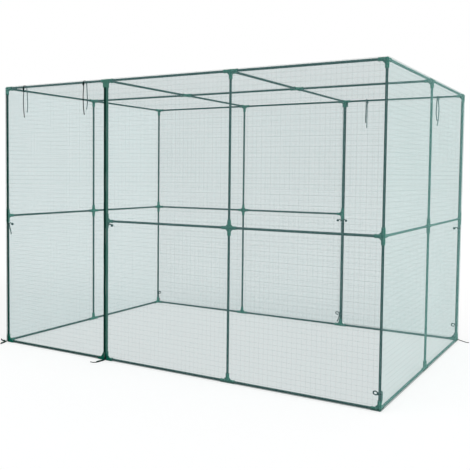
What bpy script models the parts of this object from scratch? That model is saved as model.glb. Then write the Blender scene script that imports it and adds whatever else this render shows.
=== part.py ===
"""Walk-in crop cage, 3 m long, 2 m deep and 2 m high.

A frame of 16 mm tubes in webbed connectors carries a net cover with two
roll-up doors. Each door closes with two zips and is held open by two ties.
Metres, +Z up. The origin is on the ground at the middle of the footprint,
+X runs along the front, away from its door, and +Y runs to the back.
The back half is the front half turned by 180 degrees about Z.
"""

import math

import bpy
import bmesh
from mathutils import Matrix, Vector

# Frame
BAY_X = 1.0
BAY_Y = 1.0
BAYS_X = 3
FRAME_HEIGHT = 1.974
TUBE_OD = 0.016
TUBE_WALL = 0.0006
FIT_GAP = 0.0003

# Connectors
SLEEVE_WALL = 0.0027
BOSS_STEP = 0.0009
ARM_LENGTH = 0.050
STOP_WALL = 0.002
WEB_REACH = 0.040
WEB_THICKNESS = 0.004

# Net cover
NET_THICKNESS = 0.001
STRAND_WIDTH = 0.008
GAPS_PER_BAY = 3
GROUND_CLEARANCE = 0.004
DOOR_STRIP_HEIGHT = 0.055

# Zips
COIL_WIDTH = 0.006
COIL_DEPTH = 0.0024
TAPE_WIDTH = 0.018
ZIP_INSET = 0.007

# Sliders and their pull tabs
RUN_GAP = 0.0005
SLIDER_LENGTH = 0.016
SLIDER_LIP = 0.0025
SLIDER_WALL = 0.0018
SLIDER_HEIGHT = 0.052
EAR_THICKNESS = 0.0016
EAR_LENGTH = 0.006
EAR_WALL = 0.0012
PIN_RADIUS = 0.001
PIN_OUT = 0.003
PULL_NECK = 0.004
PULL_WIDTH = 0.009
PULL_LENGTH = 0.028
PULL_THICKNESS = 0.0015
PULL_HOLE_RADIUS = 0.0022

# Door hems
HEM_HEIGHT = 0.028
HEM_DEPTH = 0.003
HEM_BEVEL = 0.0008

# Ties over the roof tube, and tails on the ground
TIE_DIAMETER = 0.004
TIE_INSET = 0.20
TIE_EDGE_BEND = 0.008
TAIL_DIAMETER = 0.004
TAIL_LIFT = 0.0001

# Roundness
TUBE_SIDES = 8
PIN_SIDES = 8
ARC_STEPS = 4
CORD_STEP = 3
SHARP_ANGLE = 35

# Worked out from the sizes above
TUBE_R = TUBE_OD / 2
BORE_R = TUBE_R + FIT_GAP
SLEEVE_R = BORE_R + SLEEVE_WALL
BOSS_R = max(SLEEVE_R + BOSS_STEP, TUBE_R + FIT_GAP + TIE_DIAMETER)
COVER = BOSS_R + FIT_GAP
STOP = TUBE_R + STOP_WALL
BASE_Z = BOSS_R
ROOF_Z = BASE_Z + FRAME_HEIGHT
MIDDLE_Z = (BASE_Z + ROOF_Z) / 2
COLUMNS = [(i - BAYS_X / 2) * BAY_X for i in range(BAYS_X + 1)]
HALF_X = COLUMNS[-1]
HALF_Y = BAY_Y
INNER_X = HALF_X + COVER
INNER_Y = HALF_Y + COVER
OUTER_X = INNER_X + NET_THICKNESS
OUTER_Y = INNER_Y + NET_THICKNESS
WALL_TOP = ROOF_Z + TUBE_R
DOOR_TOP = WALL_TOP - DOOR_STRIP_HEIGHT
ZIPS_X = (COLUMNS[0] + ZIP_INSET, COLUMNS[1] - ZIP_INSET)
DOOR_LEFT = ZIPS_X[0] + COIL_WIDTH / 2 + FIT_GAP
DOOR_RIGHT = ZIPS_X[1] - COIL_WIDTH / 2 - FIT_GAP
WALL_START = ZIPS_X[1] + COIL_WIDTH / 2 + TAPE_WIDTH + FIT_GAP
WALL_END = INNER_X - FIT_GAP
HEM_TOP = GROUND_CLEARANCE + HEM_HEIGHT
SLIDER_FACE = INNER_Y + COIL_DEPTH + RUN_GAP + SLIDER_WALL
PIN_Y = SLIDER_FACE + PIN_OUT
OVERSHOOT = 0.01
WELD = 0.00001

NO_TURN = Matrix.Identity(4)
HALF_TURN = Matrix.Rotation(math.pi, 4, "Z")
HALVES = (("front", "left", NO_TURN), ("back", "right", HALF_TURN))
ALONG = {
    "x": Matrix.Rotation(math.pi / 2, 4, "Y"),
    "y": Matrix.Rotation(-math.pi / 2, 4, "X"),
    "z": NO_TURN,
}
PLANES = {
    "xy": NO_TURN,
    "xz": Matrix.Rotation(math.pi / 2, 4, "X"),
    "yz": Matrix(((0, 0, 1, 0), (1, 0, 0, 0), (0, 1, 0, 0), (0, 0, 0, 1))),
}


def new_collections(*names):
    """Empties the scene and links one new collection for each name."""
    for old in list(bpy.data.objects):
        bpy.data.objects.remove(old)
    made = [bpy.data.collections.new(name) for name in names]
    for collection in made:
        bpy.context.scene.collection.children.link(collection)
    return made


PARTS, CUTTERS = new_collections("crop_cage", "cutters")


def finish(name, colour, roughness, metallic=0.0):
    """A plain material for one kind of piece."""
    material = bpy.data.materials.new(name)
    material.use_nodes = True
    shader = material.node_tree.nodes["Principled BSDF"]
    shader.inputs["Base Color"].default_value = (*colour, 1.0)
    shader.inputs["Roughness"].default_value = roughness
    shader.inputs["Metallic"].default_value = metallic
    return material


COATED_STEEL = finish("coated_steel", (0.012, 0.070, 0.050), 0.45)
MOULDED_PLASTIC = finish("moulded_plastic", (0.025, 0.130, 0.090), 0.55)
NET = finish("net", (0.60, 0.69, 0.69), 0.90)
ZIP_TAPE = finish("zip_tape", (0.060, 0.200, 0.150), 0.85)
SLIDER_METAL = finish("slider_metal", (0.020, 0.060, 0.050), 0.40, 0.6)
CORD = finish("cord", (0.012, 0.030, 0.028), 0.90)


def at(x, y, z):
    return Matrix.Translation((x, y, z))


def add_part(name, data, material, place=NO_TURN):
    """Puts a sub-part in the parts collection."""
    part = bpy.data.objects.new(name, data)
    data.materials.append(material)
    part.matrix_world = place
    PARTS.objects.link(part)
    return part


def add_tool(name, mesh, place):
    """Puts a helper shape in the cutters collection, out of the render."""
    tool = bpy.data.objects.new(name, mesh)
    tool.matrix_world = place
    tool.hide_render = True
    tool.display_type = "WIRE"
    CUTTERS.objects.link(tool)
    return tool


def boolean(target, tool, operation):
    modifier = target.modifiers.new(operation.lower(), "BOOLEAN")
    modifier.operation = operation
    modifier.object = tool


def mesh_from(name, shape):
    """A mesh holding a finished bmesh."""
    mesh = bpy.data.meshes.new(name)
    shape.to_mesh(mesh)
    shape.free()
    return mesh


def add_rod(shape, radius, low, high, place=NO_TURN, sides=TUBE_SIDES):
    """Adds a closed cylinder to shape, along Z from low to high, then placed."""
    bmesh.ops.create_cone(
        shape, cap_ends=True, segments=sides, radius1=radius, radius2=radius,
        depth=high - low, matrix=place @ at(0, 0, (low + high) / 2))


def rod_mesh(name, radius, low, high, place=NO_TURN, sides=TUBE_SIDES):
    shape = bmesh.new()
    add_rod(shape, radius, low, high, place, sides)
    return mesh_from(name, shape)


def box_mesh(name, *boxes):
    """Closed boxes, each between two corners."""
    shape = bmesh.new()
    for low, high in boxes:
        size = Vector(high) - Vector(low)
        middle = (Vector(high) + Vector(low)) / 2
        placing = at(*middle) @ Matrix.Diagonal((*size, 1))
        bmesh.ops.create_cube(shape, size=1, matrix=placing)
    return mesh_from(name, shape)


def plate_mesh(name, outlines, thickness, place=NO_TURN):
    """A flat plate in the XY plane, then placed, with its thickness centred on that plane.

    The first outline is the rim and the others are its holes.
    """
    curve = bpy.data.curves.new(name, "CURVE")
    curve.dimensions = "2D"
    curve.fill_mode = "BOTH"
    curve.extrude = thickness / 2
    for outline in outlines:
        line = curve.splines.new("POLY")
        line.points.add(len(outline) - 1)
        for point, (x, y) in zip(line.points, outline):
            point.co = (x, y, 0, 1)
        line.use_cyclic_u = True
    guide = bpy.data.objects.new(name, curve)
    CUTTERS.objects.link(guide)
    seen = guide.evaluated_get(bpy.context.evaluated_depsgraph_get())
    filled = bpy.data.meshes.new_from_object(seen)
    bpy.data.objects.remove(guide)
    shape = bmesh.new()
    shape.from_mesh(filled)
    bmesh.ops.remove_doubles(shape, verts=shape.verts, dist=WELD)
    bmesh.ops.transform(shape, matrix=place, verts=shape.verts)
    return mesh_from(name, shape)


# Tubes and connectors


def add_tube(name, axis, low, high, place):
    """A hollow tube with open ends, turned from the section of its wall.

    It runs from low to high along axis, in the frame of place.
    """
    inner = TUBE_R - TUBE_WALL
    section = [(TUBE_R, high), (TUBE_R, low), (inner, low), (inner, high)]
    mesh = bpy.data.meshes.new(name)
    edges = [(i, (i + 1) % len(section)) for i in range(len(section))]
    mesh.from_pydata([(r, 0, z) for r, z in section], edges, [])
    tube = add_part(name, mesh, COATED_STEEL, place @ ALONG[axis])
    screw = tube.modifiers.new("turn", "SCREW")
    screw.axis = "Z"
    screw.steps = TUBE_SIDES
    screw.render_steps = TUBE_SIDES
    screw.use_merge_vertices = True
    screw.merge_threshold = WELD


def add_rail(name, axis, low, high, place):
    """A line of tubes between the stops of the connectors at low and high."""
    add_tube(name, axis, low + STOP + FIT_GAP, high - STOP - FIT_GAP, place)


def arm_range(arms, axis, reach):
    """How far the arms on one axis reach below and above the middle."""
    low = -reach if "-" + axis in arms else 0
    high = reach if "+" + axis in arms else 0
    return low, high


def web_outline(arms, plane):
    """The rim of the web that joins the arms in one plane, or None where no arms meet."""
    a_low, a_high = arm_range(arms, plane[0], WEB_REACH)
    b_low, b_high = arm_range(arms, plane[1], WEB_REACH)
    if a_low == a_high or b_low == b_high:
        return None
    tips = [(a_high, 0), (0, b_high), (a_low, 0), (0, b_low)]
    rim = [tip for tip in tips if tip != (0, 0)]
    return rim if len(rim) > 2 else rim + [(0, 0)]


def connector_tool(name, arms, boss, place):
    """One moulded connector: a boss along Z, a sleeve on each level arm, and its webs."""
    tool = add_tool(name, rod_mesh(name, BOSS_R, *boss), place)
    for axis in "xy":
        low, high = arm_range(arms, axis, ARM_LENGTH)
        if low < high:
            sleeve = rod_mesh(name + "_sleeve", SLEEVE_R, low, high, ALONG[axis])
            boolean(tool, add_tool(sleeve.name, sleeve, place), "UNION")
    for plane, turn in PLANES.items():
        outline = web_outline(arms, plane)
        if outline:
            web = plate_mesh(name + "_web", [outline], WEB_THICKNESS, turn)
            boolean(tool, add_tool(web.name, web, place), "UNION")
    return tool


def add_bores(shape, arms, through, fused, place):
    """Adds one connector's bores to shape: blind on each arm, but right through on one axis.

    A fused arm has no bore, because its tube is one body with the connector.
    """
    reach = ARM_LENGTH + OVERSHOOT
    for arm in arms:
        if arm[1] == through or arm in fused:
            continue
        low, high = (STOP, reach) if arm[0] == "+" else (-reach, -STOP)
        add_rod(shape, BORE_R, low, high, place @ ALONG[arm[1]])
    if through:
        add_rod(shape, BORE_R, -reach, reach, place @ ALONG[through])


def add_jointed(name, place, connectors, tube=None):
    """A body of one or more connectors, with the tube that is fused to them, if any.

    Each connector is (position, arms, through, fused, boss). The tube is
    (axis, low, high, hollow_low, hollow_high). All are in the frame of place.
    """
    tools = [
        connector_tool(f"{name}_connector", arms, boss, place @ at(*position))
        for position, arms, _, _, boss in connectors
    ]
    if tube:
        axis, low, high, hollow_low, hollow_high = tube
        solid = rod_mesh(name, TUBE_R, low, high, ALONG[axis])
    else:
        solid = box_mesh(name, ((-BORE_R,) * 3, (BORE_R,) * 3))
    part = add_part(name, solid, COATED_STEEL if tube else MOULDED_PLASTIC, place)
    for tool in tools:
        boolean(part, tool, "UNION")
    bores = bmesh.new()
    for position, arms, through, fused, _ in connectors:
        add_bores(bores, arms, through, fused, at(*position))
    boolean(part, add_tool(name + "_bores", mesh_from(name + "_bores", bores), place), "DIFFERENCE")
    if tube:
        hollow = rod_mesh(
            name + "_hollow", TUBE_R - TUBE_WALL, hollow_low, hollow_high, ALONG[axis])
        boolean(part, add_tool(hollow.name, hollow, place), "DIFFERENCE")


def line_axis(arms):
    """The level axis on which a rail runs straight through a connector, if any."""
    for axis in "xy":
        if "-" + axis in arms and "+" + axis in arms:
            return axis
    return None


def add_post(name, base_arms, middle_arms, place):
    """One post: two upright tubes, its base connector and its middle connector."""
    base_line, middle_line = line_axis(base_arms), line_axis(middle_arms)
    top = ROOF_Z - STOP - FIT_GAP
    add_jointed(name, place, (
        ((0, 0, BASE_Z), base_arms + ("+z",), base_line, ("+z",), (-BASE_Z, ARM_LENGTH)),
        ((0, 0, MIDDLE_Z), middle_arms + ("-z", "+z"), middle_line, ("-z", "+z"),
         (-ARM_LENGTH, ARM_LENGTH)),
    ), ("z", BASE_Z, top, BASE_Z, top + OVERSHOOT))


def add_posts():
    """The ten posts, named from the door's corner on each long side."""
    last = BAYS_X
    for half, side, turn in HALVES:
        for i, x in enumerate(COLUMNS):
            if i == 0:
                base, middle = ("+x", "+y"), ("+y",)
            elif i == last:
                base, middle = ("-x", "+y"), ("-x", "+y")
            else:
                base = ("-x", "+x")
                middle = ("+x",) if i == 1 else ("-x", "+x")
            add_post(f"post_{half}_{i + 1}", base, middle, turn @ at(x, -HALF_Y, 0))
        add_post(f"post_{side}", ("-y", "+y"), ("-y", "+y"), turn @ at(-HALF_X, 0, 0))


def add_rails():
    """The ground ring, the half-height ring, open at the doors, and the roof ring."""
    for half, side, turn in HALVES:
        for level, z in (("base", BASE_Z), ("middle", MIDDLE_Z), ("roof", ROOF_Z)):
            start = COLUMNS[1] if level == "middle" else -HALF_X
            add_rail(f"{level}_rail_{half}", "x", start, HALF_X, turn @ at(0, -HALF_Y, z))
            add_rail(f"{level}_rail_{side}", "y", -HALF_Y, HALF_Y, turn @ at(-HALF_X, 0, z))


def add_roof():
    """The roof's corner connectors, its cross bars and its middle bar."""
    roof_boss = (-ARM_LENGTH, BOSS_R)
    for half, _, turn in HALVES:
        for i, x in enumerate(COLUMNS):
            place = turn @ at(x, -HALF_Y, ROOF_Z)
            if i in (0, BAYS_X):
                arms = ("+x" if i == 0 else "-x", "+y", "-z")
                add_jointed(f"roof_corner_{half}_{i + 1}", place,
                            (((0, 0, 0), arms, None, (), roof_boss),))
                continue
            end = HALF_Y - STOP - FIT_GAP
            add_jointed(f"roof_cross_bar_{half}_{i + 1}", place,
                        (((0, 0, 0), ("-x", "+x", "+y", "-z"), "x", ("+y",), roof_boss),),
                        ("y", 0, end, 0, end + OVERSHOOT))
    cross = ("-x", "+x", "-y", "+y")
    joints = [((x, 0, 0), cross, None, ("-x", "+x"), (-BOSS_R, BOSS_R)) for x in COLUMNS[1:-1]]
    joints.append(((-HALF_X, 0, 0), ("-y", "+y", "+x", "-z"), "y", ("+x",), roof_boss))
    joints.append(((HALF_X, 0, 0), ("-y", "+y", "-x", "-z"), "y", ("-x",), roof_boss))
    add_jointed("roof_middle_bar", at(0, 0, ROOF_Z), joints,
                ("x", -HALF_X, HALF_X, -HALF_X, HALF_X))


# Net cover


def rectangle(left, right, bottom, top):
    return [(left, bottom), (right, bottom), (right, top), (left, top)]


def gap_grid(left, right, bottom, top, columns, rows, side=STRAND_WIDTH):
    """Even rows and columns of gaps, with a strand between them and a rim all round.

    side is the width of the rim on the left and on the right.
    """
    wide = (right - left - 2 * side - (columns - 1) * STRAND_WIDTH) / columns
    high = (top - bottom - (rows + 1) * STRAND_WIDTH) / rows
    gaps = []
    for i in range(columns):
        x = left + side + i * (wide + STRAND_WIDTH)
        for j in range(rows):
            z = bottom + STRAND_WIDTH + j * (high + STRAND_WIDTH)
            gaps.append(rectangle(x, x + wide, z, z + high))
    return gaps


def add_net(name, rim, gaps, plane, place):
    """One net panel, flat, with its seams as the rim."""
    mesh = plate_mesh(name, [rim] + gaps, NET_THICKNESS, PLANES[plane])
    return add_part(name, mesh, NET, place)


def add_walls():
    """The fixed walls, each long one from its door's zip on, and the roof."""
    rows = 2 * GAPS_PER_BAY
    for half, side, turn in HALVES:
        extent = (WALL_START, WALL_END, GROUND_CLEARANCE, WALL_TOP)
        gaps = gap_grid(*extent, (BAYS_X - 1) * GAPS_PER_BAY, rows)
        add_net(f"net_{half}", rectangle(*extent), gaps, "xz",
                turn @ at(0, -(INNER_Y + OUTER_Y) / 2, 0))
        extent = (-OUTER_Y, OUTER_Y, GROUND_CLEARANCE, WALL_TOP)
        gaps = gap_grid(*extent, 2 * GAPS_PER_BAY, rows)
        add_net(f"net_{side}", rectangle(*extent), gaps, "yz",
                turn @ at(-(INNER_X + OUTER_X) / 2, 0, 0))
    extent = (-OUTER_X, OUTER_X, -OUTER_Y, OUTER_Y)
    gaps = gap_grid(*extent, BAYS_X * GAPS_PER_BAY, 2 * GAPS_PER_BAY)
    add_net("net_roof", rectangle(*extent), gaps, "xy",
            at(0, 0, ROOF_Z + COVER + NET_THICKNESS / 2))


# Doors


def add_door(half, turn):
    """One roll-up door: its net, and the hem that rises and gathers it under the roof.

    The net hangs from a strip above the zips that reaches from wall to wall.
    """
    bottom, strip_right = HEM_TOP + FIT_GAP, WALL_START - FIT_GAP
    rim = [
        (DOOR_LEFT, bottom), (DOOR_RIGHT, bottom), (DOOR_RIGHT, DOOR_TOP),
        (strip_right, DOOR_TOP), (strip_right, WALL_TOP), (-WALL_END, WALL_TOP),
        (-WALL_END, DOOR_TOP), (DOOR_LEFT, DOOR_TOP),
    ]
    gaps = gap_grid(
        DOOR_LEFT, DOOR_RIGHT, bottom, DOOR_TOP, GAPS_PER_BAY, 2 * GAPS_PER_BAY, TAPE_WIDTH)
    add_net(f"door_net_{half}", rim, gaps, "xz", turn @ at(0, -(INNER_Y + OUTER_Y) / 2, 0))
    name = f"door_hem_{half}"
    corners = (
        (DOOR_LEFT + TAPE_WIDTH, -INNER_Y - HEM_DEPTH, GROUND_CLEARANCE),
        (DOOR_RIGHT - TAPE_WIDTH, -INNER_Y, HEM_TOP),
    )
    hem = add_part(name, box_mesh(name, corners), ZIP_TAPE, turn)
    bevel = hem.modifiers.new("rounded", "BEVEL")
    bevel.width = HEM_BEVEL
    bevel.segments = 1


def add_zip(name, x, tape_side, tape_width, turn):
    """A closed coil with the tape that is sewn to the fixed net, seen from above as one section."""
    coil = COIL_WIDTH / 2
    section = [
        (-coil, 0), (coil + tape_width, 0), (coil + tape_width, NET_THICKNESS),
        (coil, NET_THICKNESS), (coil, COIL_DEPTH), (-coil, COIL_DEPTH),
    ]
    outline = [(x + tape_side * u, -INNER_Y - v) for u, v in section]
    low, high = GROUND_CLEARANCE, DOOR_TOP - FIT_GAP
    mesh = plate_mesh(name, [outline], high - low, at(0, 0, (low + high) / 2))
    add_part(name, mesh, ZIP_TAPE, turn)


def add_slider(name, x, turn):
    """A slider that runs on the face of the coil, with two ears for its pull tab.

    Its origin is on the line that it runs along.
    """
    channel = COIL_WIDTH / 2 + RUN_GAP
    outside = channel + SLIDER_LIP
    face = SLIDER_FACE - INNER_Y
    floor = face - SLIDER_WALL
    lip = NET_THICKNESS + RUN_GAP
    section = [(-outside, lip), (-channel, lip), (-channel, floor), (channel, floor)]
    section += [(channel, lip), (outside, lip), (outside, face), (-outside, face)]
    body = plate_mesh(name, [[(u, -v) for u, v in section]], SLIDER_LENGTH)
    slider = add_part(name, body, SLIDER_METAL, turn @ at(x, -INNER_Y, SLIDER_HEIGHT))
    near = PULL_NECK / 2 + RUN_GAP
    reach = face + PIN_OUT + PIN_RADIUS + EAR_WALL
    ears = [
        ((min(a, b), -reach, -EAR_LENGTH / 2), (max(a, b), -face + RUN_GAP, EAR_LENGTH / 2))
        for a, b in ((near, near + EAR_THICKNESS), (-near, -near - EAR_THICKNESS))
    ]
    boolean(slider, add_tool(name + "_ears", box_mesh(name, *ears), slider.matrix_world), "UNION")
    bore = rod_mesh(
        name + "_bore", PIN_RADIUS + FIT_GAP, -outside, outside,
        at(0, -face - PIN_OUT, 0) @ ALONG["x"], PIN_SIDES)
    boolean(slider, add_tool(bore.name, bore, slider.matrix_world), "DIFFERENCE")
    return slider


def pull_outline():
    """The tab's rim, from its neck at the pin down to its round end, and its hole."""
    neck, half = PULL_NECK / 2, PULL_WIDTH / 2
    top = PIN_RADIUS + FIT_GAP
    shoulder = math.hypot(PIN_RADIUS + EAR_WALL, EAR_LENGTH / 2) + RUN_GAP
    centre = -PULL_LENGTH + half
    rim = [(neck, top), (-neck, top), (-neck, -shoulder), (-half, -shoulder - neck)]
    for i in range(ARC_STEPS + 1):
        angle = math.pi * i / ARC_STEPS
        rim.append((-half * math.cos(angle), centre - half * math.sin(angle)))
    rim += [(half, -shoulder - neck), (neck, -shoulder)]
    hole = []
    for i in range(2 * ARC_STEPS):
        angle = math.pi * i / ARC_STEPS
        hole.append(
            (PULL_HOLE_RADIUS * math.cos(angle), centre + PULL_HOLE_RADIUS * math.sin(angle)))
    return [rim, hole]


def add_pull(name, x, slider, turn):
    """A pull tab on a pin through the slider's ears. Its origin is on the pin's axis."""
    tab = plate_mesh(name, pull_outline(), PULL_THICKNESS, PLANES["xz"])
    pull = add_part(name, tab, SLIDER_METAL, turn @ at(x, -PIN_Y, SLIDER_HEIGHT))
    half = PULL_NECK / 2 + RUN_GAP + EAR_THICKNESS
    pin = rod_mesh(name + "_pin", PIN_RADIUS, -half, half, ALONG["x"], PIN_SIDES)
    boolean(pull, add_tool(pin.name, pin, pull.matrix_world), "UNION")
    pull.parent = slider
    pull.matrix_parent_inverse = slider.matrix_world.inverted()


def add_doors():
    """Both doors, with the zip at the corner post first."""
    corner_tape = INNER_X - FIT_GAP + ZIPS_X[0] - COIL_WIDTH / 2
    for half, _, turn in HALVES:
        add_door(half, turn)
        for i, (x, side, width) in enumerate(zip(ZIPS_X, (-1, 1), (corner_tape, TAPE_WIDTH))):
            add_zip(f"zip_{half}_{i + 1}", x, side, width, turn)
            slider = add_slider(f"slider_{half}_{i + 1}", x, turn)
            add_pull(f"pull_tab_{half}_{i + 1}", x, slider, turn)


# Cords


def smooth_route(route, step):
    """Points on a smooth curve through route (Catmull-Rom), at most about step apart."""
    points = [Vector(p) for p in route]
    points = [2 * points[0] - points[1]] + points + [2 * points[-1] - points[-2]]
    found = []
    for a, b, c, d in zip(points, points[1:], points[2:], points[3:]):
        count = max(1, math.ceil((c - b).length / step))
        for i in range(count):
            t = i / count
            found.append(0.5 * (
                2 * b + (c - a) * t + (2 * a - 5 * b + 4 * c - d) * t ** 2
                + (3 * b - a - 3 * c + d) * t ** 3))
    return found + [points[-2]]


def add_cord(name, route, diameter, turn):
    """A limp cord: a tube along a smooth curve through route."""
    curve = bpy.data.curves.new(name, "CURVE")
    curve.dimensions = "3D"
    curve.bevel_depth = diameter / 2
    curve.bevel_resolution = 2
    curve.use_fill_caps = True
    line = curve.splines.new("POLY")
    path = smooth_route(route, CORD_STEP * diameter)
    line.points.add(len(path) - 1)
    for point, place in zip(line.points, path):
        point.co = (*place, 1)
    add_part(name, curve, CORD, turn)


# Each tie's tails hang from the roof edge: (along X, outwards from the frame, up)
TIE_INNER_TAIL = ((-0.004, -0.005, -0.192), (0.004, -0.004, -0.140), (0.004, -0.001, -0.075))
TIE_OUTER_TAIL = (
    (-0.003, -0.003, -0.040), (-0.009, -0.005, -0.100), (-0.006, -0.005, -0.175),
    (0.002, -0.0045, -0.235),
)


def tie_route(x):
    """Up behind the roof tube, over it, over the wall's edge and down in front of the net."""
    lift = TUBE_R + FIT_GAP + TIE_DIAMETER / 2
    route = [(x + a, -HALF_Y + lift - b, ROOF_Z + c) for a, b, c in TIE_INNER_TAIL]
    for i in range(ARC_STEPS + 1):
        angle = math.pi / 2 * i / ARC_STEPS
        route.append((x, -HALF_Y + lift * math.cos(angle), ROOF_Z + lift * math.sin(angle)))
    edge_z = ROOF_Z + lift - TIE_EDGE_BEND
    for i in range(ARC_STEPS + 1):
        angle = math.pi / 2 * i / ARC_STEPS
        route.append((
            x, -OUTER_Y - TIE_EDGE_BEND * math.sin(angle),
            edge_z + TIE_EDGE_BEND * math.cos(angle)))
    hang_y = -OUTER_Y - TIE_EDGE_BEND
    route += [(x + a, hang_y - b, edge_z + c) for a, b, c in TIE_OUTER_TAIL]
    return route


# Each tail on the ground starts at the foot of a zip: (X, Y from the net, up from lying)
TAIL_ROUTES = (
    ("ground_tail_front_1", NO_TURN, (
        (0.009, -0.078, 0), (0.004, -0.050, 0), (-0.001, -0.028, 0.0005), (-0.002, -0.0104, 0.003),
        (-0.0043, -0.0048, 0.0035), (-0.010, -0.0025, 0.0035), (-0.022, -0.0035, 0.0015),
        (-0.044, -0.003, 0), (-0.073, 0.009, 0), (-0.103, 0.028, 0))),
    ("ground_tail_front_2", NO_TURN, (
        (0.005, -0.0026, 0.030), (0.005, -0.003, 0.016), (0.001, -0.010, 0.004),
        (-0.009, -0.028, 0), (-0.013, -0.056, 0), (-0.018, -0.080, 0), (-0.036, -0.093, 0),
        (-0.062, -0.092, 0))),
    ("ground_tail_back_1", HALF_TURN, (
        (-0.007, -0.0026, 0.030), (-0.007, -0.003, 0.016), (-0.010, -0.008, 0.004),
        (-0.026, -0.008, 0), (-0.052, 0.014, 0), (-0.080, 0.036, 0), (-0.108, 0.043, 0))),
)


def add_cords():
    """Two ties to each door, and the tails that show on the ground."""
    for half, _, turn in HALVES:
        for i, x in enumerate((COLUMNS[0] + TIE_INSET, COLUMNS[1] - TIE_INSET)):
            add_cord(f"tie_{half}_{i + 1}", tie_route(x), TIE_DIAMETER, turn)
    lying = TAIL_DIAMETER / 2 + TAIL_LIFT
    for name, turn, route in TAIL_ROUTES:
        foot = COLUMNS[1] if name == "ground_tail_front_2" else COLUMNS[0]
        placed = [(foot + x, -OUTER_Y + y, lying + z) for x, y, z in route]
        add_cord(name, placed, TAIL_DIAMETER, turn)


def shade():
    """Round pieces look smooth, and flat ones keep their edges."""
    for part in PARTS.objects:
        if part.type == "MESH":
            part.data.shade_smooth()
            part.data.set_sharp_from_angle(angle=math.radians(SHARP_ANGLE))


add_posts()
add_rails()
add_roof()
add_walls()
add_doors()
add_cords()
shade()
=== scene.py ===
"""Looks of a walk-in crop cage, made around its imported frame.

Metres, +Z up, +X along the front away from its door, +Y to the back. The origin
is on the ground at the middle of the footprint. The back half of the cage is
the front half turned by 180 degrees about Z.
"""

import math

import bpy
import numpy as np
from mathutils import Matrix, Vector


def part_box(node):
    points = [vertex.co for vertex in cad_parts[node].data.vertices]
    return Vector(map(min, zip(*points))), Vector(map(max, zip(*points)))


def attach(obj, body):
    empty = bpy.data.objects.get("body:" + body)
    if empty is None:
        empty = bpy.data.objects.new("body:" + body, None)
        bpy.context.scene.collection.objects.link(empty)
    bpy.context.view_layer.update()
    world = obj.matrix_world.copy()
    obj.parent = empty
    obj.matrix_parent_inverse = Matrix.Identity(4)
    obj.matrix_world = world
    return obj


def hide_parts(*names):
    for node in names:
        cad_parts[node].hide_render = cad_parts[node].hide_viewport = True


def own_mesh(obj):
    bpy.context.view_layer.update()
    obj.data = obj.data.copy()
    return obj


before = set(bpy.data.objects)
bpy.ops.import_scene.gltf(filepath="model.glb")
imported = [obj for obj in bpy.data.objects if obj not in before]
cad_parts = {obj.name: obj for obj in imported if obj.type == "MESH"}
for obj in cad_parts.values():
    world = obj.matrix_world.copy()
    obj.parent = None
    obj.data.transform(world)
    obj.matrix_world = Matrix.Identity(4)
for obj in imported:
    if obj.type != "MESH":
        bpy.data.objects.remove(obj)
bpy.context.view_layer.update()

# Camera
# It stands outside the front right corner, at the height of a person's chest,
# and looks slightly down along the front.
PHOTO_SIDE = 470
FOCAL_PIXELS = 689.08
OPTICAL_MIDDLE = (219.98, 210.34)
SENSOR = 36.0
EYE = (2.6841, -4.7801, 1.3361)
TURN_LEFT, LOOK_UP, ROLL = (math.radians(a) for a in (30.789, -2.966, -0.587))


def aimed(thing, right, up, back, place=(0.0, 0.0, 0.0)):
    """Puts a camera or lamp in the scene, so that it looks away from back."""
    thing.matrix_world = Matrix(np.vstack([np.column_stack([right, up, back, place]), (0, 0, 0, 1)]))
    bpy.context.scene.collection.objects.link(thing)


ahead = np.array([
    -math.sin(TURN_LEFT) * math.cos(LOOK_UP), math.cos(TURN_LEFT) * math.cos(LOOK_UP),
    math.sin(LOOK_UP)])
level = np.cross(ahead, (0, 0, 1))
level /= np.linalg.norm(level)
down = np.cross(ahead, level)
rolled_right = math.cos(ROLL) * level + math.sin(ROLL) * down
rolled_down = math.cos(ROLL) * down - math.sin(ROLL) * level
camera = bpy.data.objects.new("camera", bpy.data.cameras.new("camera"))
aimed(camera, rolled_right, -rolled_down, -ahead, EYE)
camera.data.sensor_width = SENSOR
camera.data.lens = SENSOR * FOCAL_PIXELS / PHOTO_SIDE
camera.data.shift_x = 0.5 - OPTICAL_MIDDLE[0] / PHOTO_SIDE
camera.data.shift_y = OPTICAL_MIDDLE[1] / PHOTO_SIDE - 0.5
bpy.context.scene.camera = camera


# Studio
# A white floor, shaded inside the cage by the nets and, where its own light is lower,
# by a painted shade; a white sky and two broad lamps, the stronger one from the right, where the
# photograph's tubes are bright.
WHITE = (1.0, 1.0, 1.0, 1.0)
SKY_LIGHT = 0.50
FLOOR_COLOUR = (0.50, 0.50, 0.50, 1.0)
# Inside the cage's footprint the floor's own light is lower by the second number: a painted shade.
FLOOR_OWN_LIGHT, FLOOR_PAINTED_SHADE = 0.575, 0.075
PAINTED_SHADE_HALF = (1.5, 1.0)
FLOOR_REACH = 60.0
LAMPS = (
    ("lamp_right", (0.93, -0.15, 0.35), 2.3, 40),
    ("lamp_front", (-0.20, -0.65, 0.75), 0.5, 60),
)


def feed(tree, socket, value):
    """Sets a socket to a number or colour, or links it to the socket that value is."""
    if isinstance(value, bpy.types.NodeSocket):
        tree.links.new(value, socket)
    else:
        socket.default_value = value


def new_node(tree, kind, **values):
    """A node with its inputs fed by name."""
    node = tree.nodes.new(kind)
    for key, value in values.items():
        feed(tree, node.inputs[key.replace("_", " ")], value)
    return node


def calculated(tree, operation, *values):
    """A Math node over numbers or sockets."""
    node = tree.nodes.new("ShaderNodeMath")
    node.operation = operation
    for socket, value in zip(node.inputs, values):
        feed(tree, socket, value)
    return node.outputs[0]


def seen_directly(tree):
    """1 for a ray from the camera, off a shiny surface or through glass, and 0 for light on the cage."""
    path = tree.nodes.new("ShaderNodeLightPath")
    either = calculated(tree, "MAXIMUM", path.outputs["Is Camera Ray"], path.outputs["Is Glossy Ray"])
    return calculated(tree, "MAXIMUM", either, path.outputs["Is Transmission Ray"])


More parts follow.
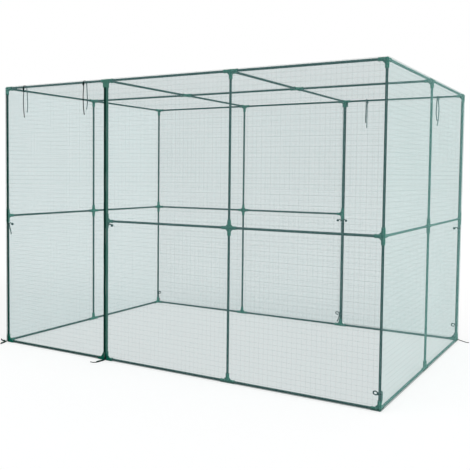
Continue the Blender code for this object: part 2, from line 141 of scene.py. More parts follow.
world = bpy.data.worlds.new("studio")
bpy.context.scene.world = world
world.use_nodes = True
sky = world.node_tree
sky.nodes.clear()
strength = calculated(sky, "MULTIPLY_ADD", seen_directly(sky), 1 - SKY_LIGHT, SKY_LIGHT)
background = new_node(sky, "ShaderNodeBackground", Color=WHITE, Strength=strength)
new_node(sky, "ShaderNodeOutputWorld", Surface=background.outputs[0])

for name, toward, power, spread in LAMPS:
    lamp = bpy.data.objects.new(name, bpy.data.lights.new(name, "SUN"))
    lamp.data.energy = power
    lamp.data.angle = math.radians(spread)
    back = np.array(toward) / np.linalg.norm(toward)
    side = np.cross((0, 0, 1), back)
    side /= np.linalg.norm(side)
    aimed(lamp, side, np.cross(back, side), back)

floor_look = bpy.data.materials.new("studio_floor")
floor_look.use_nodes = True
tree = floor_look.node_tree
tree.nodes.clear()
matt = new_node(tree, "ShaderNodeBsdfDiffuse", Color=FLOOR_COLOUR)
place = new_node(
    tree, "ShaderNodeSeparateXYZ", Vector=tree.nodes.new("ShaderNodeNewGeometry").outputs["Position"])
# The cage's footprint, where the floor gets its painted shade.
inside_painted_shade = [
    calculated(tree, "LESS_THAN", calculated(tree, "ABSOLUTE", place.outputs[axis]), half)
    for axis, half in zip("XY", PAINTED_SHADE_HALF)]
own_light = calculated(
    tree, "MULTIPLY_ADD", calculated(tree, "MULTIPLY", *inside_painted_shade), -FLOOR_PAINTED_SHADE, FLOOR_OWN_LIGHT)
glow = new_node(
    tree, "ShaderNodeEmission", Color=WHITE,
    Strength=calculated(tree, "MULTIPLY", seen_directly(tree), own_light))
both = tree.nodes.new("ShaderNodeAddShader")
for shader, socket in zip((matt, glow), both.inputs):
    tree.links.new(shader.outputs[0], socket)
new_node(tree, "ShaderNodeOutputMaterial", Surface=both.outputs[0])
floor_mesh = bpy.data.meshes.new("floor")
floor_corners = [(x * FLOOR_REACH, y * FLOOR_REACH, 0) for x, y in ((-1, -1), (1, -1), (1, 1), (-1, 1))]
floor_mesh.from_pydata(floor_corners, [], [(0, 1, 2, 3)])
floor_mesh.materials.append(floor_look)
floor = bpy.data.objects.new("floor", floor_mesh)
bpy.context.scene.collection.objects.link(floor)


# Ties and tails
# Limp, flat laces of nearly black cord. Two ties hang over the roof tube at each
# door, each with a strand inside and one outside, and hold the door when it is
# rolled up. Loose tails lie on the ground at the foot of three zips.
HALF_X, HALF_Y, BAY = 1.5, 1.0, 1.0
DOOR_POST_X = BAY - HALF_X
TUBE_R = 0.008
ROOF_Z = (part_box("roof_rail_front")[0].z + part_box("roof_rail_front")[1].z) / 2
OUTER_Y = -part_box("net_front")[0].y
FIT_GAP = 0.0003
CORD_DIAMETER = 0.004
CORD_SPREAD, CORD_DEPTH = 0.0078, 0.0028
END_SWELL, END_REACH, END_TAPER = 0.12, 0.0032, 0.5
CLOTH_SHINE = 0.12
THREAD_POLISH = 0.08
CORD_SIDES = 12
KNOT_ROWS, KNOT_SIDES, KNOT_POLE = 12, 16, 0.12
ARC_STEPS = 4
TIE_INSET = 0.20
TIE_KNOT_SIZE, TIE_KNOT_SHIFT, TIE_KNOT_DROP = (0.0085, 0.0055, 0.0120), 0.002, 0.014
TIE_EDGE_BEND = 0.008
STRAIGHT_TIE = ("back", 2)
TIE_INNER_TAIL = ((0.004, -0.001, -0.075), (0.004, -0.004, -0.140), (-0.004, -0.005, -0.192))
TIE_OUTER_TAIL = (
    (-0.003, -0.003, -0.040), (-0.009, -0.005, -0.100), (-0.006, -0.005, -0.175),
    (0.002, -0.0045, -0.235),
)
LYING_SPREAD, LYING_NEVER = (0.0060, 0.0056), (0.3, 0.0, 1.0)
LYING = 0.0034
FRONT_TAIL_SEAT = (-0.010, -0.0025, 0.0035)
TAIL_ROUTES = (
    ("ground_tail_front_1_short", "ground_tail_front_1", "front", -HALF_X, (
        FRONT_TAIL_SEAT, (-0.0043, -0.0048, 0.0035), (-0.002, -0.0104, 0.003),
        (-0.001, -0.028, 0.0005), (0.004, -0.050, 0), (0.009, -0.078, 0))),
    ("ground_tail_front_1_long", "ground_tail_front_1", "front", -HALF_X, (
        FRONT_TAIL_SEAT, (-0.022, -0.0035, 0.0015), (-0.044, -0.003, 0), (-0.073, 0.009, 0),
        (-0.103, 0.028, 0))),
    ("ground_tail_front_2_cord", "ground_tail_front_2", "front", DOOR_POST_X, (
        (0.005, -0.0026, 0.030), (0.005, -0.003, 0.016), (0.001, -0.010, 0.004),
        (-0.009, -0.028, 0), (-0.013, -0.056, 0), (-0.018, -0.080, 0), (-0.036, -0.093, 0),
        (-0.062, -0.092, 0))),
    ("ground_tail_back_1_cord", "ground_tail_back_1", "back", -HALF_X, (
        (-0.007, -0.0026, 0.030), (-0.007, -0.003, 0.016), (-0.010, -0.008, 0.004),
        (-0.026, -0.008, 0), (-0.052, 0.014, 0), (-0.080, 0.036, 0), (-0.108, 0.043, 0))),
)
TURNS = {"front": np.array([1.0, 1.0, 1.0]), "back": np.array([-1.0, -1.0, 1.0])}
SIDES = {"front": "left", "back": "right"}
X_AXIS, Y_AXIS, Z_AXIS = np.eye(3)


def smooth_route(route, step):
    """Points on a smooth curve through route, at most about step apart.

    Between b and c, with a before and d after them, a point at t is half of
    2b + (c - a)t + (2a - 5b + 4c - d)t^2 + (3b - a - 3c + d)t^3.
    """
    points = np.asarray(route, float)
    points = np.vstack([2 * points[0] - points[1], points, 2 * points[-1] - points[-2]])
    found = []
    for a, b, c, d in zip(points, points[1:], points[2:], points[3:]):
        t = np.arange(max(1, math.ceil(np.linalg.norm(c - b) / step)))
        t = (t / len(t))[:, None]
        found.append((
            2 * b + (c - a) * t + (2 * a - 5 * b + 4 * c - d) * t ** 2
            + (3 * b - a - 3 * c + d) * t ** 3) / 2)
    return np.vstack(found + [points[-2:-1]])


def grid_faces(rows, columns, wrap_rows=False):
    """Four-cornered faces between neighbours on a grid whose columns close on themselves.

    Face (i, j) joins the points (i, j), (i, j + 1), (i + 1, j + 1) and (i + 1, j).
    """
    i, j = np.meshgrid(np.arange(rows if wrap_rows else rows - 1), np.arange(columns), indexing="ij")
    i_next, j_next = (i + 1) % rows, (j + 1) % columns
    corners = (i * columns + j, i * columns + j_next, i_next * columns + j_next, i_next * columns + j)
    return np.stack(corners, -1).reshape(-1, 4)


def end_caps(rows, columns):
    """The first and the last ring of a grid as two flat faces that point outwards."""
    ring = np.arange(columns)
    return np.stack([ring[::-1], (rows - 1) * columns + ring])


def shell(grid, flipped=False):
    """A grid of points whose columns close on themselves, with the faces of its side and ends."""
    size = grid.shape[:2]
    faces = [grid_faces(*size), end_caps(*size)]
    return grid, [f[:, ::-1] for f in faces] if flipped else faces


def along_path(path):
    """The distance of each point of a path from its start."""
    steps = np.linalg.norm(np.diff(path, axis=0), axis=1)
    return np.concatenate([[0], np.cumsum(steps)])


def carried(path, profile, never, swell=1.0):
    """A closed profile carried along a path, as a grid of points.

    The point (a, b) of the profile lands at path + a * side + b * up. side is
    square to the path and to never, a direction that the path doesn't take.
    """
    tangent = np.gradient(path, axis=0)
    tangent /= np.linalg.norm(tangent, axis=1, keepdims=True)
    side = np.cross(never, tangent)
    side /= np.linalg.norm(side, axis=1, keepdims=True)
    up = np.cross(tangent, side)
    ring = profile[None, :, :1] * side[:, None] + profile[None, :, 1:] * up[:, None]
    return path[:, None] + ring * np.broadcast_to(swell, len(path))[:, None, None]


def circle(radius, sides):
    """Points round a circle, anticlockwise from the first axis."""
    angle = 2 * np.pi * np.arange(sides) / sides
    return radius * np.stack([np.cos(angle), np.sin(angle)], -1)


def turned_grid(section, origin, axis, sides):
    """A section of (radius, distance) points turned about an axis through origin.

    A point lands at origin + distance * axis + radius * (cos * side + sin * up).
    """
    axis = np.asarray(axis, float)
    side = np.cross(axis, Y_AXIS if abs(axis[1]) < 0.9 else Z_AXIS)
    side /= np.linalg.norm(side)
    up = np.cross(axis, side)
    section, ring = np.asarray(section, float), circle(1.0, sides)
    spokes = ring[:, :1] * side + ring[:, 1:] * up
    return origin + section[:, None, 1:] * axis + section[:, None, :1] * spokes[None]


def ball(rows, sides, pole):
    """A ball of radius 1, cut flat at its poles, as rings (sin(polar), -cos(polar)) turned about Z."""
    polar = np.linspace(pole, np.pi - pole, rows)
    return turned_grid(np.stack([np.sin(polar), -np.cos(polar)], -1), 0, Z_AXIS, sides)


def add_piece(name, points, face_sets, material, body="root", slot=None, nodes=(), uv=None, sharp=40):
    """A mesh on a body, from points and arrays of faces with equal corner counts."""
    points = np.asarray(points, np.float32).reshape(-1, 3)
    counts = np.concatenate([np.full(len(f), f.shape[1]) for f in face_sets])
    corners = np.concatenate([f.ravel() for f in face_sets])
    mesh = bpy.data.meshes.new(name)
    mesh.vertices.add(len(points))
    mesh.vertices.foreach_set("co", points.ravel())
    mesh.loops.add(len(corners))
    mesh.loops.foreach_set("vertex_index", corners.astype(np.int32))
    mesh.polygons.add(len(counts))
    mesh.polygons.foreach_set("loop_start", (np.cumsum(counts) - counts).astype(np.int32))
    mesh.update(calc_edges=True)
    if uv is not None:
        spread_out = np.zeros((len(corners), 2), np.float32)
        spread_out[:len(uv)] = uv
        mesh.uv_layers.new(name="lengthwise").data.foreach_set("uv", spread_out.ravel())
    mesh.shade_smooth()
    mesh.set_sharp_from_angle(angle=math.radians(sharp))
    mesh.materials.append(material)
    piece = bpy.data.objects.new(name, mesh)
    bpy.context.scene.collection.objects.link(piece)
    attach(piece, body)
    if nodes:
        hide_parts(*nodes)
    return piece


def add_carried(name, path, profile, never, material, swell=1.0, **place):
    """A closed piece: a profile carried along a path.

    Its UV map runs once round it and, in metres, along it.
    """
    points, faces = shell(carried(path, profile, never, swell))
    rows, columns = points.shape[:2]
    i, j = np.meshgrid(np.arange(rows - 1), np.arange(columns), indexing="ij")
    u = np.stack([j, j + 1, j + 1, j], -1) / columns
    v = along_path(path)[np.stack([i, i, i + 1, i + 1], -1)]
    uv = np.stack([u, v], -1).reshape(-1, 2)
    return add_piece(name, points, faces, material, uv=uv, **place)


def effect_group(name, inputs):
    """An empty shader node group with named inputs, given with their usual values."""
    group = bpy.data.node_groups.new(name, "ShaderNodeTree")
    for key, value in inputs.items():
        kind = "NodeSocketColor" if isinstance(value, tuple) else "NodeSocketFloat"
        group.interface.new_socket(key, in_out="INPUT", socket_type=kind).default_value = value
    return group, group.nodes.new("NodeGroupInput").outputs


def put_out(group, colour, factor, rough, height):
    """Gives a group its three outputs: a colour times a factor, a roughness and a height."""
    scaled = group.nodes.new("ShaderNodeVectorMath")
    scaled.operation = "SCALE"
    group.links.new(colour, scaled.inputs[0])
    group.links.new(factor, scaled.inputs["Scale"])
    for key, kind in (("Colour", "Color"), ("Roughness", "Float"), ("Height", "Float")):
        group.interface.new_socket(key, in_out="OUTPUT", socket_type=f"NodeSocket{kind}")
    end = group.nodes.new("NodeGroupOutput")
    for value, socket in zip((scaled.outputs[0], rough, height), end.inputs):
        group.links.new(value, socket)


def crossing_threads():
    """Threads that cross, on the piece's own UV map.

    The pattern is sin(2 pi f) * sin(2 pi g), with f = across * u + slant * along * v
    and g = along * v - slant * across * u.
    """
    group, given = effect_group("crossing_threads", {
        "Colour": WHITE, "Across": 10.0, "Along": 300.0, "Slant": 0.0, "Depth": 0.3, "Roughness": 0.8})
    place = group.nodes.new("ShaderNodeTexCoord")
    split = new_node(group, "ShaderNodeSeparateXYZ", Vector=place.outputs["UV"])
    u = calculated(group, "MULTIPLY", split.outputs["X"], given["Across"])
    v = calculated(group, "MULTIPLY", split.outputs["Y"], given["Along"])
    first = calculated(group, "MULTIPLY_ADD", given["Slant"], v, u)
    slanted_u = calculated(group, "MULTIPLY", given["Slant"], u)
    second = calculated(group, "SUBTRACT", v, slanted_u)
    waves = [
        calculated(group, "SINE", calculated(group, "MULTIPLY", phase, 2 * math.pi))
        for phase in (first, second)]
    pattern = calculated(group, "MULTIPLY", *waves)
    factor = calculated(group, "MULTIPLY_ADD", pattern, given["Depth"], 1.0)
    rough = calculated(group, "MULTIPLY_ADD", pattern, -THREAD_POLISH, given["Roughness"])
    put_out(group, given["Colour"], factor, rough, pattern)
    return group


def finished(name, group, bump, shine=0.5, metallic=0.0, **values):
    """A material whose colour, roughness and bump come from an effect group with its own values."""
    material = bpy.data.materials.new(name)
    material.use_nodes = True
    nodes = material.node_tree
    effect = nodes.nodes.new("ShaderNodeGroup")
    effect.node_tree = group
    for key, value in values.items():
        effect.inputs[key].default_value = value
    shader = nodes.nodes["Principled BSDF"]
    shader.inputs["Metallic"].default_value = metallic
    shader.inputs["Specular IOR Level"].default_value = shine
    relief = new_node(
        nodes, "ShaderNodeBump", Strength=1.0, Distance=bump, Height=effect.outputs["Height"])
    nodes.links.new(effect.outputs["Colour"], shader.inputs["Base Color"])
    nodes.links.new(effect.outputs["Roughness"], shader.inputs["Roughness"])
    nodes.links.new(relief.outputs[0], shader.inputs["Normal"])
    return material


THREADS = crossing_threads()
CORD = finished(
    "braided_cord", THREADS, 0.0003, shine=CLOTH_SHINE,
    Colour=(0.005, 0.014, 0.012, 1), Across=4.0, Along=220.0, Slant=1.0, Depth=0.45, Roughness=0.82)


def add_knot(name, middle, size):
    """A small round knot: a ball with three half sizes."""
    points, faces = shell(middle + ball(KNOT_ROWS, KNOT_SIDES, KNOT_POLE) * size)
    return add_piece(name, points, faces, CORD, slot="cord")


def add_cord(name, path, never, spread=(CORD_SPREAD, CORD_DEPTH), nodes=(), knot=None):
    """A free cord along a path from its exit. Its far end swells a little, or has a knot of its own."""
    lengths = along_path(path)
    left = lengths[-1] - lengths
    swell = 1 + END_SWELL * np.exp(-((left - CORD_DIAMETER) / END_REACH) ** 2)
    swell[-1] = END_TAPER
    section = circle(0.5, CORD_SIDES) * spread
    piece = add_carried(name, path, section, never, CORD, swell, slot="cord", nodes=nodes)
    with_pieces = [] if knot is None else [add_knot(f"{name}_knot", path[-1], knot)]
    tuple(path[0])


def tie_routes(x, sway):
    """One tie's two strands from the top of the roof tube: inwards and down, and over the wall's edge.

    Both bends are quarter circles. A strand leans aside by sway times its listed amount.
    """
    lift = TUBE_R + FIT_GAP + CORD_DIAMETER / 2
    angle = np.pi / 2 * np.arange(ARC_STEPS + 1) / ARC_STEPS
    across, along, up = 0 * angle[:, None], np.sin(angle)[:, None], np.cos(angle)[:, None]
    over = (x, -HALF_Y, ROOF_Z) + lift * np.hstack([across, along, up])
    inner = [(x + sway * a, -HALF_Y + lift - b, ROOF_Z + c) for a, b, c in TIE_INNER_TAIL]
    edge_z = ROOF_Z + lift - TIE_EDGE_BEND
    bend = (x, -OUTER_Y, edge_z) + TIE_EDGE_BEND * np.hstack([across, -along, up])
    hang_y = -OUTER_Y - TIE_EDGE_BEND
    outer = [(x + sway * a, hang_y - b, edge_z + c) for a, b, c in TIE_OUTER_TAIL]
    return np.vstack([over, inner]), np.vstack([over[:1], bend, outer])


for half, turn in TURNS.items():
    for number, x in enumerate((-HALF_X + TIE_INSET, DOOR_POST_X - TIE_INSET), 1):
        sway = 0 if (half, number) == STRAIGHT_TIE else 1
        for strand, route in zip(("inner", "outer"), tie_routes(x, sway)):
            path = smooth_route(route, CORD_DIAMETER) * turn
            add_cord(
                f"tie_{half}_{number}_{strand}", path, X_AXIS, (CORD_DEPTH, CORD_SPREAD),
                nodes=[f"tie_{half}_{number}"])
        knot = (x - TIE_KNOT_SHIFT, -OUTER_Y - TIE_EDGE_BEND, ROOF_Z - TIE_KNOT_DROP) * turn
        add_knot(f"tie_{half}_{number}_knot", knot, TIE_KNOT_SIZE)
for name, node, half, foot, route in TAIL_ROUTES:
    placed = np.array(route) + (foot, -OUTER_Y, LYING)
    path = smooth_route(placed, CORD_DIAMETER) * TURNS[half]
    add_cord(name, path, LYING_NEVER, LYING_SPREAD, nodes=[node])


# Frame ties
# The same cord holds the cover to the posts: a wrap round the tube with a knot
# beside it. High on a post an end is short and knobbed, and low on a post one is an
# open ring. Other ends hang.
BOSS_R = 0.0123
BASE_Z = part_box("post_front_1")[0].z + BOSS_R
MIDDLE_Z = (BASE_Z + ROOF_Z) / 2
KNOB = ((0.002, 0.000, 0.002), (0.012, 0.003, 0.006), (0.021, 0.006, 0.005), (0.029, 0.008, -0.002))
HANGING = (
    (0.000, 0.000, -0.002), (0.002, 0.004, -0.026), (0.008, 0.006, -0.054), (0.021, 0.006, -0.078))
LOW_HANGING = (
    (0.001, 0.002, -0.004), (0.004, 0.007, -0.032), (0.010, 0.009, -0.060), (0.012, 0.010, -0.086))
RING_HALF, RING_RISE, RING_REACH = 0.0135, 0.0107, 0.0180
RING_END, RING_DRIFT, RING_POINTS = -0.82 * np.pi, 0.004, 15
FRAME_TIES = (
    ("front_1", -1.5, -1.0, MIDDLE_Z - 0.063, (
        ("knob", KNOB, 1), ("tail", HANGING, 1), ("short_tail", LOW_HANGING, 1))),
    ("front_2", -0.5, -1.0, MIDDLE_Z - 0.028, (("knob", KNOB, 1),)),
    ("front_4_low", 1.5, -1.0, 0.101, (("ring", None, -1),)),
    ("back_1", 1.5, 1.0, MIDDLE_Z - 0.077, (("knob", KNOB, -1),)),
    ("back_1_low", 1.5, 1.0, 0.130, (("ring", None, -1),)),
    ("back_2", 0.5, 1.0, MIDDLE_Z - 0.055, (("knob", KNOB, -1), ("low_knob", KNOB, 1))),
    ("back_2_low", 0.5, 1.0, 0.115, (("ring", None, -1), ("tail", HANGING, -1))),
    ("back_4_low", -1.5, 1.0, 0.112, (("ring", None, 1), ("tail", HANGING, 1))),
)
KNOB_SIZE, KNOT_SIZE = (0.0115, 0.0085, 0.0100), (0.0085, 0.0065, 0.0085)
WRAP_STEPS, WRAP_SIDES = 32, 8


def ring_route():
    """Out from the knot, round an ellipse and back to just under the start, drifting inwards."""
    angle = np.linspace(np.pi, RING_END, RING_POINTS)
    return np.stack([
        RING_REACH + RING_HALF * np.cos(angle), RING_DRIFT + RING_DRIFT * (np.pi - angle) / np.pi,
        RING_RISE * np.sin(angle)], -1)


for name, x, y, z, ends in FRAME_TIES:
    centre = np.array([x, y, z])
    reach = TUBE_R + CORD_DEPTH / 2
    for end, route, sign in ends:
        route = ring_route() if route is None else np.array(route)
        places = centre + X_AXIS * sign * reach + route * (sign, -np.sign(y), 1)
        add_cord(
            f"frame_tie_{name}_{end}", smooth_route(places, CORD_DIAMETER / 2), Y_AXIS,
            knot=KNOB_SIZE if "knob" in end else None)
    section = circle(0.5, WRAP_SIDES) * (CORD_DEPTH, CORD_SPREAD) + (reach, 0)
    wrap = turned_grid(section, centre, Z_AXIS, WRAP_STEPS)
    faces = [grid_faces(WRAP_SIDES, WRAP_STEPS, True)]
    add_piece(f"frame_tie_{name}_wrap", wrap, faces, CORD, slot="cord")
    add_knot(f"frame_tie_{name}_knot", centre + X_AXIS * ends[0][2] * reach, KNOT_SIZE)


# Tubes
# Plain round steel tubes, 16 mm across and a metre between centres, with a dark
# green coat. The tubes of the right side get a lighter copy of the coat, which is
# painted light where the lamp from the right falls on them. Each pushes into a
# connector at both ends, and the edges of its cut ends are broken.
TUBE_WALL = 0.0006
TUBE_SIDES = 24
CONNECTOR_STOP = 0.0103
EDGE_BREAK = 0.0002
COLUMNS = (-1.5, -0.5, 0.5, 1.5)
LEVELS = {"base": BASE_Z, "middle": MIDDLE_Z, "roof": ROOF_Z}


def grain():
    """Fine and broad variation of a moulded or coated surface, from noise on Object coordinates."""
    group, given = effect_group("grain", {
        "Colour": WHITE, "Scale": 900.0, "Broad": 3.0, "Depth": 0.1, "Roughness": 0.5,
        "Roughness Depth": 0.1})
    place = group.nodes.new("ShaderNodeTexCoord").outputs["Object"]
    fine = new_node(group, "ShaderNodeTexNoise", Vector=place, Scale=given["Scale"], Detail=3.0)
    broad = new_node(group, "ShaderNodeTexNoise", Vector=place, Scale=given["Broad"], Detail=4.0)
    mixed = calculated(group, "ADD", fine.outputs[0], broad.outputs[0])
    varied = calculated(group, "SUBTRACT", mixed, 1.0)
    factor = calculated(group, "MULTIPLY_ADD", varied, given["Depth"], 1.0)
    rough = calculated(group, "MULTIPLY_ADD", varied, given["Roughness Depth"], given["Roughness"])
    put_out(group, given["Colour"], factor, rough, fine.outputs[0])
    return group


GRAIN = grain()
# The second, lighter copy of the coat is painted light, for the tubes of the right side where the lamp
# from the right falls.
COATED_STEEL, PAINTED_LIGHT_STEEL = (
    finished(name, GRAIN, 0.00012, shine=0.08, Colour=colour, Scale=420.0, Depth=0.25, Roughness=0.42)
    for name, colour in (
        ("coated_steel", (0.005, 0.040, 0.031, 1)), ("coated_steel_painted_light", (0.024, 0.150, 0.115, 1))))
PAINTED_LIGHT_NODES = ("post_right", "post_back_1", "base_rail_right", "middle_rail_right", "roof_rail_right")


def add_tube(name, start, end, node):
    """One tube from connector centre start to connector centre end, hollow, with open ends."""
    axis = np.subtract(end, start)
    span = np.linalg.norm(axis)
    low, high, bore, chip = CONNECTOR_STOP, span - CONNECTOR_STOP, TUBE_R - TUBE_WALL, EDGE_BREAK
    section = [
        (TUBE_R - chip, low), (TUBE_R, low + chip), (TUBE_R, high - chip), (TUBE_R - chip, high),
        (bore, high), (bore, low)]
    points = turned_grid(section, np.asarray(start, float), axis / span, TUBE_SIDES)
    faces = [grid_faces(len(section), TUBE_SIDES, True)]
    # Tubes of the right side take the lighter copy of the coat: painted light.
    look = PAINTED_LIGHT_STEEL if node in PAINTED_LIGHT_NODES else COATED_STEEL
    add_piece(name, points, faces, look, slot="coated_steel", nodes=[node])


def add_line(node, stations, half="front"):
    """A line of tubes from one connector to the next."""
    stations = np.array(stations, float) * TURNS[half]
    for number, (start, end) in enumerate(zip(stations, stations[1:]), 1):
        add_tube(f"{node}_tube_{number}", start, end, node)


for half, side in SIDES.items():
    for number, x in enumerate(COLUMNS, 1):
        add_line(f"post_{half}_{number}", [(x, -HALF_Y, z) for z in LEVELS.values()], half)
    add_line(f"post_{side}", [(-HALF_X, 0, z) for z in LEVELS.values()], half)
    for level_name, z in LEVELS.items():
        first = 1 if level_name == "middle" else 0
        add_line(f"{level_name}_rail_{half}", [(x, -HALF_Y, z) for x in COLUMNS[first:]], half)
        add_line(f"{level_name}_rail_{side}", [(-HALF_X, y, z) for y in (-HALF_Y, 0, HALF_Y)], half)
    for number in (2, 3):
        x = COLUMNS[number - 1]
        add_line(f"roof_cross_bar_{half}_{number}", [(x, -HALF_Y, ROOF_Z), (x, 0, ROOF_Z)], half)
add_line("roof_middle_bar", [(x, 0, ROOF_Z) for x in COLUMNS])


# Connectors
# Moulded plastic joints of a fresh green. Each has a socket for every tube, a
# collar round each mouth, and a thin web between neighbouring sockets, with a
# rolled edge that stiffens it.
SOCKET_R, UPRIGHT_SOCKET_R, BORE_R = 0.011, BOSS_R - 0.0002, 0.0083
SOCKET_LENGTH = 0.050
COLLAR_LENGTH, COLLAR_R, COLLAR_STEP, COLLAR_EDGE = 0.006, 0.0121, 0.0011, 0.0006
WEB_REACH, WEB_THICKNESS, WEB_DIP = 0.037, 0.004, 0.0015
WEB_EDGE_R, WEB_EDGE_SIDES = 0.0028, 8
WEB_STEPS = 9
SOCKET_SIDES = 28
HUB_ROWS, HUB_POLE = 14, 0.18
DIRECTIONS = {
    "-x": -X_AXIS, "+x": X_AXIS, "-y": -Y_AXIS, "+y": Y_AXIS, "-z": -Z_AXIS, "+z": Z_AXIS}

MOULDED_PLASTIC = finished(
    "moulded_plastic", GRAIN, 0.00010, shine=0.15, Colour=(0.008, 0.150, 0.095, 1), Scale=650.0,
    Depth=0.20, Roughness=0.50)


def joined(shells):
    """Several closed shells as one array of points and sets of faces."""
    points, face_sets, start = [], [], 0
    for grid, faces in shells:
        flat = grid.reshape(-1, 3)
        points.append(flat)
        face_sets += [f + start for f in faces]
        start += len(flat)
    return np.vstack(points), face_sets


def socket(origin, direction, radius):
    """One socket: a sleeve with a collar round its mouth and a blind bore."""
    tip, collar, edge = SOCKET_LENGTH, min(COLLAR_R, radius + COLLAR_STEP), COLLAR_EDGE
    inner = tip - COLLAR_LENGTH
    section = [
        (radius, 0), (radius, inner - edge), (collar, inner + edge), (collar, tip - edge),
        (collar - edge, tip), (BORE_R + edge, tip), (BORE_R, tip - edge), (BORE_R, CONNECTOR_STOP)]
    return shell(turned_grid(section, origin, direction, SOCKET_SIDES))


def hub(origin):
    """The rounded middle where the sockets meet."""
    return shell(origin + BOSS_R * ball(HUB_ROWS, SOCKET_SIDES, HUB_POLE))


def web(origin, first, second):
    """The web between two sockets, whose free edge dips towards the corner by WEB_DIP at its middle."""
    share = np.linspace(0, 1, WEB_STEPS)[:, None]
    dip = WEB_DIP * np.sin(np.pi * share)
    edge = WEB_REACH * (1 - share) * first + WEB_REACH * share * second - dip * (first + second)
    rim = np.vstack([edge, np.zeros((1, 3))])
    normal = np.cross(first, second)
    grid = np.stack([rim - normal * WEB_THICKNESS / 2, rim + normal * WEB_THICKNESS / 2])
    rolled = carried(edge, circle(WEB_EDGE_R, WEB_EDGE_SIDES), normal)
    return [shell(origin + grid), shell(origin + rolled)]


def add_connector(node, joint, origin, arms, half="front"):
    """One connector of a node at origin. Its upright sockets are nearly as wide as the hub."""
    origin = np.array(origin, float) * TURNS[half]
    directions = [DIRECTIONS[arm] * TURNS[half] for arm in arms]
    shells = [hub(origin)] + [
        socket(origin, way, UPRIGHT_SOCKET_R if way[2] else SOCKET_R) for way in directions]
    for i, first in enumerate(directions):
        for second in directions[i + 1:]:
            if abs(first @ second) < 0.5:
                shells += web(origin, first, second)
    points, faces = joined(shells)
    add_piece(
        f"{node}_{joint}", points, faces, MOULDED_PLASTIC, slot="moulded_plastic", nodes=[node],
        sharp=35)


for half, side in SIDES.items():
    for number, x in enumerate(COLUMNS, 1):
        ends = {1: ("+x",), 4: ("-x",)}.get(number, ("-x", "+x"))
        corner = ("+y",) if number in (1, 4) else ()
        middle = {1: (), 2: ("+x",)}.get(number, ends)
        post = f"post_{half}_{number}"
        add_connector(post, "base_joint", (x, -HALF_Y, BASE_Z), ends + corner + ("+z",), half)
        add_connector(
            post, "middle_joint", (x, -HALF_Y, MIDDLE_Z), middle + corner + ("-z", "+z"), half)
        top = f"roof_{'corner' if corner else 'cross_bar'}_{half}_{number}"
        add_connector(top, "joint", (x, -HALF_Y, ROOF_Z), ends + ("+y", "-z"), half)
    post = f"post_{side}"
    add_connector(post, "base_joint", (-HALF_X, 0, BASE_Z), ("-y", "+y", "+z"), half)
    add_connector(post, "middle_joint", (-HALF_X, 0, MIDDLE_Z), ("-y", "+y", "-z", "+z"), half)
for number, x in enumerate(COLUMNS, 1):
    arms = {1: ("+x", "-z"), 4: ("-x", "-z")}.get(number, ("-x", "+x"))
    add_connector("roof_middle_bar", f"joint_{number}", (x, 0, ROOF_Z), ("-y", "+y") + arms)


# Net
# Fine knitted plastic net, too sheer to show its holes from where people stand,
# with a heavier, darker strand every 32 mm each way. It is drawn over the frame from
# outside, slightly slack between the tubes, with some edges folded and a dark strip
# along its foot that is painted shade.
MESH_PITCH, HEAVY_EVERY = 0.008, 4
STRAND, HEAVY_ROW, HEAVY_COLUMN = 0.00035, 0.00065, 0.0005
STRAND_THICKNESS = 0.00008
KNIT_STEPS = 16
WALL_SLACK, ROOF_SLACK, DOOR_SLACK = 0.0045, 0.010, 0.003
FOLD_WIDTH, FOOT_HEIGHT, FOLD_STEP = 0.012, 0.016, 0.0004


def net_look(name, colour, scale, depth, roughness):
    """The finish of the net's plastic."""
    return finished(
        name, GRAIN, 0.00005, shine=CLOTH_SHINE, Colour=colour, Scale=scale, Broad=1.3, Depth=depth,
        Roughness=roughness)


def sheer(name, colour, cover):
    """A knit's finish, which covers a share of what is behind it."""
    material = net_look(name, colour, 90.0, 0.15, 0.70)
    material.node_tree.nodes["Principled BSDF"].inputs["Alpha"].default_value = cover
    return material


STRANDS = net_look("net_strand", (0.52, 0.74, 0.72, 1), 260.0, 0.22, 0.62)
HEAVY_STRANDS = net_look("net_heavy_strand", (0.16, 0.28, 0.27, 1), 260.0, 0.22, 0.62)
KNIT = sheer("net_knit", (0.230, 0.490, 0.505, 1), 0.187)
ROOF_KNIT = sheer("net_knit_roof", (0.230, 0.490, 0.505, 1), 0.15)
# The right wall's knit covers more than the other walls' knit: painted light, for that wall's net lit by
# the lamp from the right.
KNIT_PAINTED_LIGHT = sheer("net_knit_painted_light", (0.190, 0.400, 0.385, 1), 0.27)
FOLD = sheer("net_fold", (0.180, 0.380, 0.360, 1), 0.18)
# The dark foot is painted shade along the bottom of the walls and of the door hems.
PAINTED_SHADE_FOOT = sheer("net_foot_painted_shade", (0.020, 0.050, 0.045, 1), 0.30)


class Panel:
    """A nearly flat cloth, with s running along right and t along up, in metres.

    Its point (s, t) lies at origin + s * right + t * up + slack(s, t) * outward.
    """

    def __init__(self, origin, width, height, slack=lambda s, t: 0 * s, right=X_AXIS, up=Z_AXIS):
        self.origin, self.right, self.up = (np.asarray(v, float) for v in (origin, right, up))
        self.outward = np.cross(self.right, self.up)
        self.width, self.height, self.slack = width, height, slack

    def point(self, s, t):
        """The places of the points (s, t)."""
        s, t = np.broadcast_arrays(s, t)
        s, t = s[..., None], t[..., None]
        return self.origin + s * self.right + t * self.up + self.slack(s, t) * self.outward


def repeated(count, rows):
    """The faces of count four-sided bars of as many rings as rows, one after another."""
    faces = np.vstack([grid_faces(rows, 4), end_caps(rows, 4)])
    return (faces + rows * 4 * np.arange(count)[:, None, None]).reshape(-1, 4)


